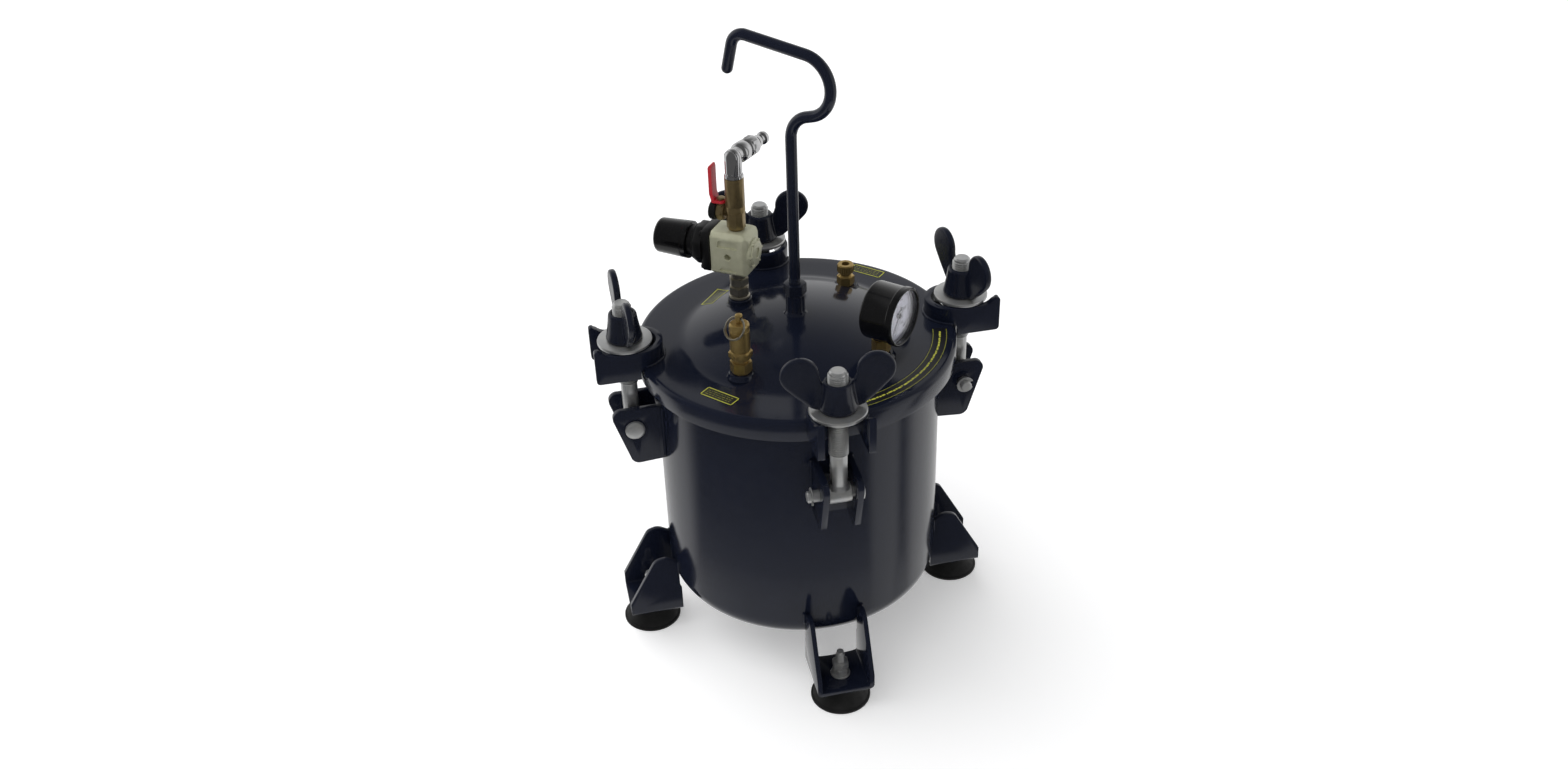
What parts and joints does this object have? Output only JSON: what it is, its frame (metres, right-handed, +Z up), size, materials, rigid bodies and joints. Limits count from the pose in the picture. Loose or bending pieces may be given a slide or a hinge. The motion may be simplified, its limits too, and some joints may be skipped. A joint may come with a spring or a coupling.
{
  "type": "resin pressure pot",
  "caption": "Round dark-painted pressure tank on suction feet, domed lid held by swing bolts with wing nuts, carrying a lifting hook, regulator with ball valve, gauge, safety valve and vent.",
  "frame": {"origin": "on the tank's upright axis at floor level, under the middle of the four suction cups", "axes": "+Z up along the tank and the hook's rod; +X and +Y each point at a clamp and a foot; the front clamp and foot are on -Y"},
  "size_m": [0.348, 0.348, 0.5452],
  "materials": {
    "navy_paint": "very dark navy gloss powder coat",
    "zinc": "zinc-plated steel",
    "brass": "machined yellow brass",
    "nickel": "nickel-plated brass",
    "champagne_cast": "die-cast zinc with a pale champagne coat",
    "black_plastic": "black moulded plastic or black-coated steel",
    "chrome": "bright plated steel",
    "red_vinyl": "red dipped vinyl over steel",
    "rubber": "black rubber",
    "dial_white": "white dial with a faint lavender tint",
    "clear_glass": "clear window"
  },
  "bodies": {
    "root": {"tank_shell": "navy_paint", "lid_shell": "navy_paint", "lid_hook": "navy_paint", "hook_boss": "navy_paint", "hook_lock_nut": "navy_paint", "lid_gasket": "rubber", "lid_lug_right": "navy_paint", "tank_clevis_right": "navy_paint", "foot_bracket_right": "navy_paint", "clevis_pin_right": "zinc", "foot_stud_right": "zinc", "suction_cup_right": "rubber", "lid_lug_back": "navy_paint", "tank_clevis_back": "navy_paint", "foot_bracket_back": "navy_paint", "clevis_pin_back": "zinc", "foot_stud_back": "zinc", "suction_cup_back": "rubber", "lid_lug_left": "navy_paint", "tank_clevis_left": "navy_paint", "foot_bracket_left": "navy_paint", "clevis_pin_left": "zinc", "foot_stud_left": "zinc", "suction_cup_left": "rubber", "lid_lug_front": "navy_paint", "tank_clevis_front": "navy_paint", "foot_bracket_front": "navy_paint", "clevis_pin_front": "zinc", "foot_stud_front": "zinc", "suction_cup_front": "rubber", "regulator_nipple": "nickel", "regulator_body": "champagne_cast", "regulator_bonnet": "black_plastic", "inlet_pillar": "brass", "ball_valve_body": "brass", "safety_valve_body": "brass", "gauge_stem": "brass", "gauge_case": "black_plastic", "gauge_dial": "dial_white", "gauge_lens": "clear_glass", "vent_fitting": "brass"},
    "swing_bolt_right": {"swing_bolt_right": "zinc"},
    "clamp_washer_right": {"clamp_washer_right": "zinc"},
    "wing_nut_right": {"wing_nut_right": "navy_paint"},
    "swing_bolt_back": {"swing_bolt_back": "zinc"},
    "clamp_washer_back": {"clamp_washer_back": "zinc"},
    "wing_nut_back": {"wing_nut_back": "navy_paint"},
    "swing_bolt_left": {"swing_bolt_left": "zinc"},
    "clamp_washer_left": {"clamp_washer_left": "zinc"},
    "wing_nut_left": {"wing_nut_left": "navy_paint"},
    "swing_bolt_front": {"swing_bolt_front": "zinc"},
    "clamp_washer_front": {"clamp_washer_front": "zinc"},
    "wing_nut_front": {"wing_nut_front": "navy_paint"},
    "regulator_knob": {"regulator_knob": "black_plastic"},
    "ball_valve_lever": {"ball_valve_lever": "red_vinyl"},
    "swivel_elbow": {"swivel_elbow": "chrome"},
    "quick_connect_plug": {"quick_connect_plug": "chrome"},
    "safety_stem": {"safety_valve_stem": "brass"},
    "pull_ring": {"safety_pull_ring": "zinc"},
    "gauge_needle": {"gauge_needle": "black_plastic"}
  },
  "joints": [
    {"name": "swing_right", "type": "hinge", "parent": "root", "child": "swing_bolt_right", "pos_m": [0.146, 0, 0.2215], "axis": [0, 1, 0], "range_deg": [0, 165]},
    {"name": "nut_lift_right", "type": "slide", "parent": "swing_bolt_right", "child": "clamp_washer_right", "axis": [0, 0, 1], "range_m": [0, 0.012]},
    {"name": "nut_turn_right", "type": "hinge", "parent": "clamp_washer_right", "child": "wing_nut_right", "pos_m": [0.146, 0, 0.3], "axis": [0, 0, 1], "range_deg": [0, 2162]},
    {"name": "swing_back", "type": "hinge", "parent": "root", "child": "swing_bolt_back", "pos_m": [0, 0.146, 0.2215], "axis": [-1, 0, 0], "range_deg": [0, 165]},
    {"name": "nut_lift_back", "type": "slide", "parent": "swing_bolt_back", "child": "clamp_washer_back", "axis": [0, 0, 1], "range_m": [0, 0.012]},
    {"name": "nut_turn_back", "type": "hinge", "parent": "clamp_washer_back", "child": "wing_nut_back", "pos_m": [0, 0.146, 0.3], "axis": [0, 0, 1], "range_deg": [0, 2162]},
    {"name": "swing_left", "type": "hinge", "parent": "root", "child": "swing_bolt_left", "pos_m": [-0.146, 0, 0.2215], "axis": [0, -1, 0], "range_deg": [0, 165]},
    {"name": "nut_lift_left", "type": "slide", "parent": "swing_bolt_left", "child": "clamp_washer_left", "axis": [0, 0, 1], "range_m": [0, 0.012]},
    {"name": "nut_turn_left", "type": "hinge", "parent": "clamp_washer_left", "child": "wing_nut_left", "pos_m": [-0.146, 0, 0.3], "axis": [0, 0, 1], "range_deg": [0, 2162]},
    {"name": "swing_front", "type": "hinge", "parent": "root", "child": "swing_bolt_front", "pos_m": [0, -0.146, 0.2215], "axis": [1, 0, 0], "range_deg": [0, 165]},
    {"name": "nut_lift_front", "type": "slide", "parent": "swing_bolt_front", "child": "clamp_washer_front", "axis": [0, 0, 1], "range_m": [0, 0.012]},
    {"name": "nut_turn_front", "type": "hinge", "parent": "clamp_washer_front", "child": "wing_nut_front", "pos_m": [0, -0.146, 0.3], "axis": [0, 0, 1], "range_deg": [0, 2162]},
    {"name": "knob_turn", "type": "hinge", "parent": "root", "child": "regulator_knob", "pos_m": [-0.07512, 0.06468, 0.352], "axis": [-0.8192, 0.5736, 0], "range_deg": [0, 1260]},
    {"name": "lever_turn", "type": "hinge", "parent": "root", "child": "ball_valve_lever", "pos_m": [-0.05095, 0.04776, 0.3843], "axis": [0, 0, 1], "range_deg": [0, 90]},
    {"name": "elbow_swivel", "type": "hinge", "parent": "root", "child": "swivel_elbow", "pos_m": [-0.04031, 0.04031, 0.4173], "axis": [0, 0, 1], "continuous": true},
    {"name": "plug_swivel", "type": "hinge", "parent": "swivel_elbow", "child": "quick_connect_plug", "pos_m": [-0.02736, 0.05281, 0.4355], "axis": [0.7193, 0.6947, 0], "continuous": true},
    {"name": "stem_pull", "type": "slide", "parent": "root", "child": "safety_stem", "axis": [0, 0, 1], "range_m": [0, 0.003], "stiffness_N_per_m": 4000, "springref_m": -0.002},
    {"name": "ring_swing", "type": "hinge", "parent": "safety_stem", "child": "pull_ring", "pos_m": [-0.05904, -0.05904, 0.3428], "axis": [-0.5736, 0.8192, 0], "range_deg": [0, 150]},
    {"name": "needle_turn", "type": "hinge", "parent": "root", "child": "gauge_needle", "pos_m": [0.07014, -0.07014, 0.3307], "axis": [-0.7071, 0.7071, 0], "range_deg": [0, 270]}
  ],
  "couplings": [
    {"joint": "nut_turn_right", "follows": "nut_lift_right", "rad_per_m": 3141.6},
    {"joint": "nut_turn_back", "follows": "nut_lift_back", "rad_per_m": 3141.6},
    {"joint": "nut_turn_left", "follows": "nut_lift_left", "rad_per_m": 3141.6},
    {"joint": "nut_turn_front", "follows": "nut_lift_front", "rad_per_m": 3141.6}
  ]
}
